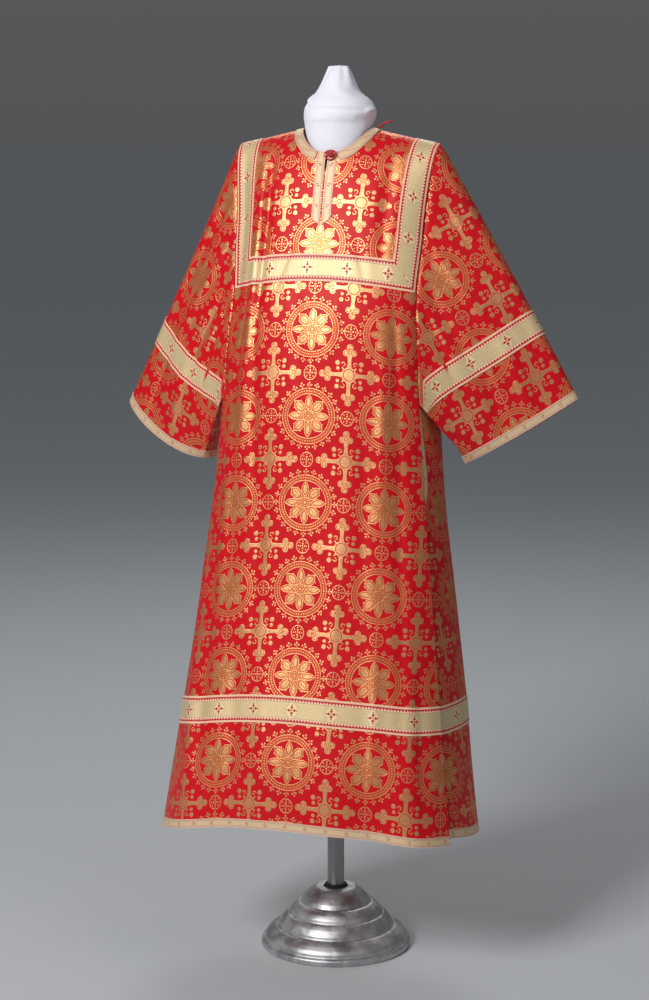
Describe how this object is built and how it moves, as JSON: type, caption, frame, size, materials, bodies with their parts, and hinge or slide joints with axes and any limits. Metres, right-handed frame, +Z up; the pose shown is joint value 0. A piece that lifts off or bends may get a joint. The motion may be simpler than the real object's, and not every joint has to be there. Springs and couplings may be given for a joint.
{
  "type": "sticharion on a dress form",
  "caption": "Long straight-cut vestment with wide sleeves, neck slit and galloon bands, hung on a limbless dress form with a round turned foot.",
  "frame": {"origin": "under the middle of the foot, on the floor", "axes": "+Z up along the pole; the garment faces -Y and the wearer's left is +X"},
  "size_m": [0.9734, 0.4582, 1.829],
  "materials": {
    "brocade": "red satin ground with gold woven figures",
    "wide_galloon": "pale gold woven galloon, 54 mm, red toothed lines",
    "narrow_galloon": "beige gold woven galloon, 18 mm, pink edge lines",
    "red_cord": "red twisted cord",
    "cover_cloth": "plain white cloth",
    "form_shell": "plain linen over the form",
    "pole_steel": "bright steel tube",
    "foot_metal": "cast and turned, satin",
    "black_bush": "matt black bush"
  },
  "bodies": {
    "root": {"stand_base": "foot_metal", "pole_bush": "black_bush", "stand_pole": "pole_steel", "form_torso": "form_shell", "form_neck_cover": "cover_cloth", "front": "brocade", "back": "brocade", "sleeve_left": "brocade", "sleeve_band_left": "wide_galloon", "cuff_galloon_left": "narrow_galloon", "placket_galloon_left": "narrow_galloon", "slit_galloon_left": "narrow_galloon", "sleeve_right": "brocade", "sleeve_band_right": "wide_galloon", "cuff_galloon_right": "narrow_galloon", "placket_galloon_right": "narrow_galloon", "slit_galloon_right": "narrow_galloon", "yoke_galloon_front": "wide_galloon", "yoke_galloon_back": "wide_galloon", "skirt_band_front": "wide_galloon", "skirt_band_back": "wide_galloon", "hem_galloon_front": "narrow_galloon", "hem_galloon_back": "narrow_galloon", "neck_galloon": "narrow_galloon", "neck_button": "red_cord", "neck_loop": "red_cord", "shoulder_loop": "red_cord"}
  },
  "joints": []
}
